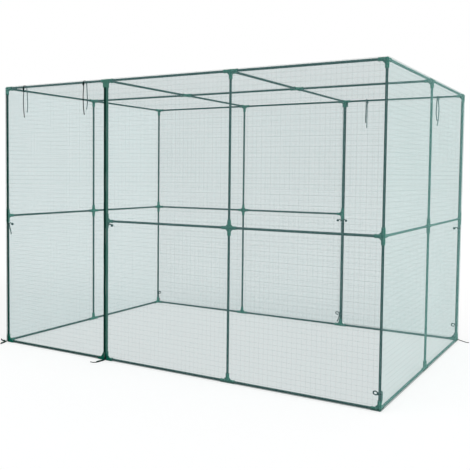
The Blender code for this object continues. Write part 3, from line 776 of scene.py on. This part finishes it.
def strands(panel, lengthwise, heavy):
    """A panel's fine or heavy strands that run one way, with their faces.

    Each is a line of points on the panel with a flat, four-cornered section round it.
    """
    span, run = (panel.height, panel.width) if lengthwise else (panel.width, panel.height)
    count = round(span / MESH_PITCH)
    index = np.arange(1, count)
    index = index[(index % HEAVY_EVERY == 0) == heavy]
    fixed = (index * span / count)[:, None]
    moving = np.linspace(0, run, KNIT_STEPS * max(1, round(run)) + 1)[None]
    middle = panel.point(moving, fixed) if lengthwise else panel.point(fixed, moving)
    tangent = panel.right if lengthwise else panel.up
    aside = np.cross(panel.outward, tangent)
    width = (HEAVY_ROW if lengthwise else HEAVY_COLUMN) if heavy else STRAND
    edge, face = aside * width / 2, panel.outward * STRAND_THICKNESS / 2
    section = np.stack([edge, face, -edge, -face])
    return middle[:, :, None] + section, [repeated(*middle.shape[:2])]


def knit(panel, end=None, lift=0.0):
    """The fine knit of a panel, or of its lower left part up to end, as one sheet."""
    end = (panel.width, panel.height) if end is None else end
    across, along = (
        KNIT_STEPS * max(1, round(length)) + 1 for length in (panel.width, panel.height))
    s = np.linspace(0, end[0], across)[:, None]
    t = np.linspace(0, end[1], along)[None]
    faces = grid_faces(across, along).reshape(-1, along, 4)[:, :-1, [0, 3, 2, 1]]
    return panel.point(s, t) + lift * panel.outward, [faces.reshape(-1, 4)]


def add_sheer(name, shells, material, turn, nodes):
    """Knits or strands of a net as one piece."""
    points, faces = joined(shells)
    return add_piece(name, points * turn, faces, material, slot="net", nodes=nodes, sharp=60)


def add_net(name, panel, turn, nodes, edges=(), material=KNIT):
    """A net panel: its knit is one sheet, with its strands, fold and a dark foot of painted shade on it.
    """
    net = add_sheer(name, [knit(panel)], material, turn, nodes)
    trims = []
    for kind, heavy, look in (("strands", False, STRANDS), ("heavy_strands", True, HEAVY_STRANDS)):
        both_ways = [strands(panel, lengthwise, heavy) for lengthwise in (False, True)]
        trims.append(add_sheer(f"{name}_{kind}", both_ways, look, turn, nodes))
    sides = {
        "foot": ((panel.width, FOOT_HEIGHT), PAINTED_SHADE_FOOT), "left_fold": ((FOLD_WIDTH, panel.height), FOLD)}
    for edge in edges:
        end, look = sides[edge]
        trims.append(add_sheer(f"{name}_{edge}", [knit(panel, end, FOLD_STEP)], look, turn, nodes))
    return net, trims


def slack_between(depth, first_s, first_t, step_t):
    """A slack of -depth midway between tubes and none at each, with tubes every bay and step_t.

    It is -depth * (sin(pi * (s + first_s) / bay) * sin(pi * (t + first_t) / step_t)) squared.
    """
    return lambda s, t: -depth * (
        np.sin(np.pi * (s + first_s) / BAY) * np.sin(np.pi * (t + first_t) / step_t)) ** 2


def add_wall(side, panel, turn, edges, material=KNIT):
    """One wall's net, stretched over the middle and roof tubes of its side."""
    add_net(
        f"wall_{side}", panel, turn, [f"net_{side}"], edges=edges, material=material)


LEVEL = MIDDLE_Z - BASE_Z
for half, turn in TURNS.items():
    low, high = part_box("net_front")
    bottom, wall_height = low.z, high.z - low.z
    middle_y = (low.y + high.y) / 2
    slack = slack_between(WALL_SLACK, low.x - COLUMNS[1], 0, LEVEL)
    panel = Panel((low.x, middle_y, bottom), high.x - low.x, wall_height, slack)
    add_wall(half, panel, turn, ("foot", "left_fold"))
    low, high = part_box("net_left")
    middle_x = (low.x + high.x) / 2
    slack = slack_between(WALL_SLACK, low.y, 0, LEVEL)
    panel = Panel((middle_x, high.y, bottom), high.y - low.y, wall_height, slack, right=-Y_AXIS)
    # The right wall takes the knit with painted light.
    add_wall(SIDES[half], panel, turn, ("foot",), KNIT if half == "front" else KNIT_PAINTED_LIGHT)

low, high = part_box("net_roof")
slack = slack_between(ROOF_SLACK, low.x - COLUMNS[0], low.y, BAY)
panel = Panel(
    (low.x, low.y, (low.z + high.z) / 2), high.x - low.x, high.y - low.y, slack, up=Y_AXIS)
add_net("roof", panel, TURNS["front"], ["net_roof"], material=ROOF_KNIT)


# Doors
# A net flap in the end bay of each long side. It hangs from a strip of net under
# the roof edge, has a dark tape down each side and a stiff folded hem at its foot.
# The hem rides on the door's own body, and rises with it.
TAPE_WIDTH, TAPE_THICKNESS = 0.018, 0.0010
DARK_TAPE_WIDTHS = {"front": (0.006, 0.010), "back": (0.006, 0.003)}
TAPE_RIPPLE, TAPE_WAVES = 0.0012, (4.5, 11.5)
DOOR_WAVES, DOOR_SHIFT, DOOR_LEAN = 2.5, 1.7, 2.1
HEM_RIPPLE, HEM_WAVES, HEM_STEPS = 0.0008, 31, 120
BAND_STEPS = 160


def woven(name, colour, depth, shine):
    """The finish of a woven tape or cloth."""
    return finished(
        name, THREADS, 0.00025, shine=shine, Colour=colour, Across=12.0, Along=420.0, Depth=depth,
        Roughness=0.78)


TAPE = woven("zip_tape", (0.002, 0.038, 0.028, 1), 0.22, 0.05)


def rounded_strip(width, thickness):
    """The section of a flat tape: twelve points round a strip with eased edges."""
    across = np.array([-0.5, -0.47, -0.25, 0, 0.25, 0.47, 0.5, 0.47, 0.25, 0, -0.25, -0.47])
    through = np.repeat([0, -0.5, 0, 0.5], [1, 5, 1, 5])
    return np.stack([across * width, through * thickness], -1)


def band(name, panel, material, turn, nodes=()):
    """A tape as wide as a narrow upright panel, up its middle and following its slack."""
    share = np.linspace(0, 1, BAND_STEPS)
    path = panel.point(panel.width / 2 + 0 * share, panel.height * share) * turn
    section = rounded_strip(panel.width, TAPE_THICKNESS)
    return add_carried(name, path, section, panel.outward, material, slot="zip_tape", nodes=nodes)


for half, turn in TURNS.items():
    low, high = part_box("door_hem_front")
    hem_top = high.z
    door_top, wall_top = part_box("zip_front_1")[1].z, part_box("net_front")[1].z
    height = door_top - hem_top
    face_y = -OUTER_Y + TAPE_THICKNESS / 2

    def door_slack(s, t, height=height):
        held = np.sin(np.pi * t / height) ** 0.5
        folds = np.sin(2 * np.pi * DOOR_WAVES * s) * np.sin(DOOR_SHIFT + DOOR_LEAN * t)
        return DOOR_SLACK * held * folds

    widths = DARK_TAPE_WIDTHS[half]
    left, right = low.x - TAPE_WIDTH + widths[0], high.x + TAPE_WIDTH - widths[1]
    panel = Panel((left, face_y, hem_top), right - left, height, door_slack)
    node = f"door_net_{half}"
    flap, trims = add_net(
        f"door_{half}", panel, turn, [node])
    for number, start, width in zip((1, 2), (left - widths[0], right), widths):
        def tape_slack(s, t, start=start, height=height):
            waves = np.sin(TAPE_WAVES[0] * start + TAPE_WAVES[1] * t) ** 2
            return -TAPE_RIPPLE * waves * np.sin(np.pi * t / height)

        tape_panel = Panel((start, face_y, hem_top), width, height, tape_slack)
        trims.append(band(f"door_{half}_tape_{number}", tape_panel, TAPE, turn, [node]))
    for soft in [flap, *trims]:
        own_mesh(soft)

    header_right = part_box("net_front")[0].x - FIT_GAP
    header_left = -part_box("net_front")[1].x
    panel = Panel((header_left, face_y, door_top), header_right - header_left, wall_top - door_top)
    add_net(f"door_{half}_header", panel, turn, [node])

    share = np.linspace(0, 1, HEM_STEPS)
    hem_path = np.stack([
        low.x + (high.x - low.x) * share,
        (low.y + high.y) / 2 + HEM_RIPPLE * np.sin(HEM_WAVES * share) * np.sin(np.pi * share),
        0 * share], -1)
    thick = high.y - low.y - 2 * HEM_RIPPLE
    # The hem's lowest strip takes the dark foot: painted shade.
    for part, height, thickness, look in (
            ("hem", high.z - low.z, thick - 2 * FOLD_STEP, FOLD), ("hem_painted_shade_foot", FOOT_HEIGHT, thick, PAINTED_SHADE_FOOT)):
        path = hem_path + Z_AXIS * (low.z + height / 2)
        piece = add_carried(
            f"door_{half}_{part}", path, rounded_strip(height, thickness), Y_AXIS, look,
            body=f"{half}_door", slot="zip_tape", nodes=[f"door_hem_{half}"])
        piece.data.transform(Matrix.Diagonal((*turn, 1.0)))


# Zips
# Two closed rows of moulded teeth on a dark woven tape. Its outer edge is sewn to
# a fold of net at the corner, or to a lighter strap down the wall's post with a
# patch above it. Doubled cloth finishes the feet, three tapes end on the ground, and
# a strap hangs at the front right post.
TOOTH_PITCH = 0.0025
TOOTH = np.array([0.0034, 0.0019, 0.0012])
COIL_HALF = 0.003
SEWN_WIDTH, SEWN_WAVES = 0.004, 17
PATCH_WIDTH, PATCH_HEIGHT, PATCH_SHIFT = 0.052, 0.052, 0.003
TAPE_END_WIDTH, TAPE_END_THICKNESS, TAPE_END_LIFT = 0.012, 0.0008, 0.004
TAPE_ENDS = ((2, 6), (1, 5), (2, 6))
STRAP_WIDTH, STRAP_THICKNESS = 0.012, 0.0014
STRAP_OVERLAP = {"front": 0.006, "back": 0.0}
STRAP_ROUTE = (
    (1.502, -0.990, 0.116), (1.503, -0.979, 0.113), (1.504, -0.975, 0.098), (1.504, -0.976, 0.072),
    (1.503, -0.980, 0.050), (1.501, -0.989, 0.036))
ROUTE_STEP = 0.003
GUSSET = np.array([
    (0.000, 0.004), (0.056, 0.004), (0.054, 0.014), (0.032, 0.024), (0.017, 0.038), (0.007, 0.058),
    (0.000, 0.064)])
GUSSET_THICKNESS, WALL_GUSSET_SHIFT, DOOR_GUSSET_SHIFT = 0.0008, 0.002, 0.004
PLAIN_FOOT = "zip_back_2"

STRAP = woven("strap", (0.060, 0.180, 0.145, 1), 0.22, CLOTH_SHINE)
PATCH = woven("zip_patch", (0.075, 0.235, 0.180, 1), 0.15, CLOTH_SHINE)
GUSSET_CLOTH = woven("zip_gusset", (0.004, 0.120, 0.080, 1), 0.15, 0.05)
ZIP_TEETH = finished(
    "zip_teeth", GRAIN, 0.00005, shine=0.1, Colour=(0.002, 0.038, 0.028, 1), Scale=900.0, Depth=0.15,
    Roughness=0.40)
TOOTH_CORNERS = np.array([
    (-0.5, 0.5, -0.5), (0.5, 0.5, -0.5), (0.5, 0.5, 0.5), (-0.5, 0.5, 0.5),
    (-0.4, -0.5, -0.4), (0.4, -0.5, -0.4), (0.4, -0.5, 0.4), (-0.4, -0.5, 0.4)])


def teeth(x, face_y, bottom, top):
    """Two rows of teeth that mesh: the same tapered block at each place, left and right in turn."""
    count = int((top - bottom) / TOOTH_PITCH * 2) - 1
    index = np.arange(count)
    places = np.stack([
        x + np.where(index % 2, 1, -1) * (COIL_HALF - TOOTH[0] / 2),
        np.full(count, face_y - TOOTH[1] / 2),
        bottom + (index + 1) * TOOTH_PITCH / 2], -1)
    return places[:, None] + TOOTH_CORNERS * TOOTH, [repeated(count, 2)]


def add_gusset(name, x, sign, body, turn):
    """A corner of doubled cloth at a zip's foot, from x towards sign, just outside the door's hem."""
    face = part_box("door_hem_front")[0].y
    outline = GUSSET * (sign, 1) + (x, 0)
    grid, faces = shell(np.stack([
        np.column_stack([outline[:, 0], np.full(len(outline), y), outline[:, 1]])
        for y in (face, face - GUSSET_THICKNESS)]), sign < 0)
    add_piece(name, grid * turn, faces, GUSSET_CLOTH, body=body, slot="zip_tape", sharp=20)


for half, turn in TURNS.items():
    for number in (1, 2):
        low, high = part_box(f"zip_front_{number}")
        x = high.x - COIL_HALF if number == 1 else low.x + COIL_HALF
        node = f"zip_{half}_{number}"
        points, faces = teeth(x, high.y, low.z, high.z)
        add_piece(
            f"{node}_teeth", points * turn, faces, ZIP_TEETH, slot="slider_metal", nodes=[node], sharp=20)
        height = high.z - low.z

        def sewn_slack(s, t, phase=number, height=height):
            return TAPE_RIPPLE * np.sin(SEWN_WAVES * t + phase) * np.sin(np.pi * t / height)

        face_y = high.y - TAPE_THICKNESS / 2
        edge = x - COIL_HALF - (SEWN_WIDTH if number == 1 else 0)
        width = 2 * COIL_HALF + SEWN_WIDTH
        band(f"{node}_tape", Panel((edge, face_y, low.z), width, height), TAPE, turn, [node])
        start, end = (low.x, edge) if number == 1 else (edge + width, high.x + STRAP_OVERLAP[half])
        panel = Panel((start, face_y, low.z), end - start, height, sewn_slack)
        if number == 1:
            add_sheer(f"{node}_fold", [knit(panel)], FOLD, turn, [node])
        else:
            band(f"{node}_strap", panel, STRAP, turn, [node])
            patch_x = COLUMNS[1] - PATCH_WIDTH / 2 - PATCH_SHIFT
            panel = Panel((patch_x, face_y, high.z), PATCH_WIDTH, PATCH_HEIGHT)
            band(f"{node}_patch", panel, PATCH, turn)
            if half == "front":
                add_gusset(f"{node}_wall_gusset", COLUMNS[1] + WALL_GUSSET_SHIFT, 1, "root", turn)
        if node != PLAIN_FOOT:
            door_side = -1 if number == 2 else 1
            foot = x + door_side * (COIL_HALF + DOOR_GUSSET_SHIFT)
            add_gusset(f"{node}_door_gusset", foot, door_side, f"{half}_door", turn)


for (first, last), (name, node, half, foot, route) in zip(TAPE_ENDS, TAIL_ROUTES):
    lying = np.array(route[first:last]) * (1, 1, 0) + (foot, -OUTER_Y, TAPE_END_WIDTH / 2)
    lying[0, 2] += TAPE_END_LIFT
    section = rounded_strip(TAPE_END_THICKNESS, TAPE_END_WIDTH)
    add_carried(f"{name}_tape", smooth_route(lying, ROUTE_STEP), section, Z_AXIS, TAPE, slot="zip_tape")
section = rounded_strip(STRAP_THICKNESS, STRAP_WIDTH)
add_carried(
    "hanging_strap", smooth_route(STRAP_ROUTE, ROUTE_STEP), section, X_AXIS, STRAP, slot="zip_tape")


# Sliders and pull tabs
# Small enamelled castings. A slider is a channel that grips both rows of teeth,
# with two ears and a pin. Its tab hangs from the pin and has a grip with ribs
# and a hole.
SLIDER_WALL, SLIDER_LIP, SLIDER_WAIST = 0.0018, 0.0025, 0.90
SLIDER_BEVEL, SLIDER_RINGS = 0.0004, 7
EAR_THICKNESS, EAR_SPREAD, EAR_REACH, EAR_HALF, EAR_SINK = 0.0016, 0.0025, 0.0052, 0.003, 0.0004
PIN_R, PIN_OUT, PIN_SIDES = 0.001, 0.003, 16
TAB_THICKNESS, TAB_HOLE_R, TAB_HALF, TAB_NECK = 0.0015, 0.0022, 0.0045, 0.002
TAB_SHOULDER, TAB_SLOPE = 0.0055, 0.002
TAB_POINTS, TAB_ARC_POINTS = 48, 17
RIB_HALF, RIB_RISE, RIB_HEIGHT = 0.003, 0.0011, 0.0008
RIB_START, RIB_PITCH, RIBS = 0.0042, 0.0022, 4

SLIDER_METAL = finished(
    "slider_enamel", GRAIN, 0.00006, metallic=0.35, Colour=(0.030, 0.090, 0.070, 1), Scale=800.0,
    Depth=0.15, Roughness=0.34)


def block(low, high):
    """A closed box between two corners."""
    (x0, y0, z0), (x1, y1, z1) = low, high
    ring = np.array([(x0, y0), (x1, y0), (x1, y1), (x0, y1)])
    return shell(np.stack([np.column_stack([ring, np.full(4, z)]) for z in (z0, z1)]))


def holed_plate(outline, hole_middle, back_y):
    """A tab's plate, square to Y, with a round hole.

    Each outline point has a partner on the hole, in the same direction from its middle.
    """
    spoke = outline - hole_middle
    inner = hole_middle + TAB_HOLE_R * spoke / np.linalg.norm(spoke, axis=1, keepdims=True)
    front_y = back_y - TAB_THICKNESS
    rows = [
        np.column_stack([ring[:, 0], np.full(len(ring), y), ring[:, 1]])
        for ring, y in ((outline, back_y), (inner, back_y), (inner, front_y), (outline, front_y))]
    return np.stack(rows), [grid_faces(4, len(outline), True)]


for half, turn in TURNS.items():
    for number in (1, 2):
        node = f"slider_{half}_{number}"
        low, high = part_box(f"slider_front_{number}")
        x, z = (low.x + high.x) / 2, (low.z + high.z) / 2
        outside = (high.x - low.x) / 2
        lip_y, length = high.y, high.z - low.z
        face_y = low.y + EAR_REACH
        channel = outside - SLIDER_LIP
        section = np.array([
            (-outside, lip_y), (-channel, lip_y), (-channel, face_y + SLIDER_WALL),
            (channel, face_y + SLIDER_WALL), (channel, lip_y), (outside, lip_y), (outside, face_y),
            (-outside, face_y)])
        rise = np.linspace(-0.5, 0.5, SLIDER_RINGS)[:, None]
        waist = SLIDER_WAIST + (1 - SLIDER_WAIST) * np.abs(2 * rise) ** 1.5
        across = x + section[:, 0] * np.where(np.abs(section[:, 0]) > channel, waist, 1.0)
        body = shell(
            np.stack(np.broadcast_arrays(across, section[:, 1], z + rise * length), -1), True)
        ears = [
            block((x + a, low.y, z - EAR_HALF), (x + a + EAR_THICKNESS, face_y + EAR_SINK, z + EAR_HALF))
            for a in (EAR_SPREAD, -EAR_SPREAD - EAR_THICKNESS)]
        points, faces = joined([body, *ears])
        slider = add_piece(
            f"{node}_casting", points * turn, faces, SLIDER_METAL, f"{half}_slider_{number}",
            "slider_metal", [node], sharp=30)
        bevel = slider.modifiers.new("eased", "BEVEL")
        bevel.width = SLIDER_BEVEL
        bevel.segments = 2
        bevel.limit_method = "ANGLE"

        node = f"pull_tab_{half}_{number}"
        low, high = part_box(f"pull_tab_front_{number}")
        pin_y = face_y - PIN_OUT
        end_z = low.z + TAB_HALF
        angle = np.linspace(np.pi, 2 * np.pi, TAB_ARC_POINTS)
        rounded = np.stack([TAB_HALF * np.cos(angle), end_z + TAB_HALF * np.sin(angle)], -1)
        neck_top, shoulder = z + PIN_R, z - TAB_SHOULDER
        right_side = np.array([
            (TAB_HALF, shoulder - TAB_SLOPE), (TAB_NECK, shoulder), (TAB_NECK, neck_top)])
        rim = np.vstack([rounded, right_side, right_side[::-1] * (-1, 1)])
        loop = np.vstack([rim, rim[:1]])
        lengths = along_path(loop)
        wanted = np.linspace(0, lengths[-1], TAB_POINTS + 1)[:-1]
        rim = np.stack([np.interp(wanted, lengths, loop[:, k]) for k in (0, 1)], -1)
        plate = holed_plate(rim + (x, 0), (x, end_z), pin_y + TAB_THICKNESS / 2)
        pin_half = EAR_SPREAD + EAR_THICKNESS
        pin_section = [(PIN_R, -pin_half), (PIN_R, pin_half)]
        pin = shell(turned_grid(pin_section, np.array([x, pin_y, z]), X_AXIS, PIN_SIDES))
        ribs = [
            block((x - RIB_HALF, pin_y - RIB_RISE, foot),
                  (x + RIB_HALF, pin_y + RIB_RISE, foot + RIB_HEIGHT))
            for foot in end_z + RIB_START + RIB_PITCH * np.arange(RIBS)]
        points, faces = joined([plate, pin, *ribs])
        add_piece(
            f"{node}_tab", points * turn, faces, SLIDER_METAL, f"{half}_pull_{number}",
            "slider_metal", [node], sharp=30)

bpy.context.scene.view_settings.view_transform = "Standard"
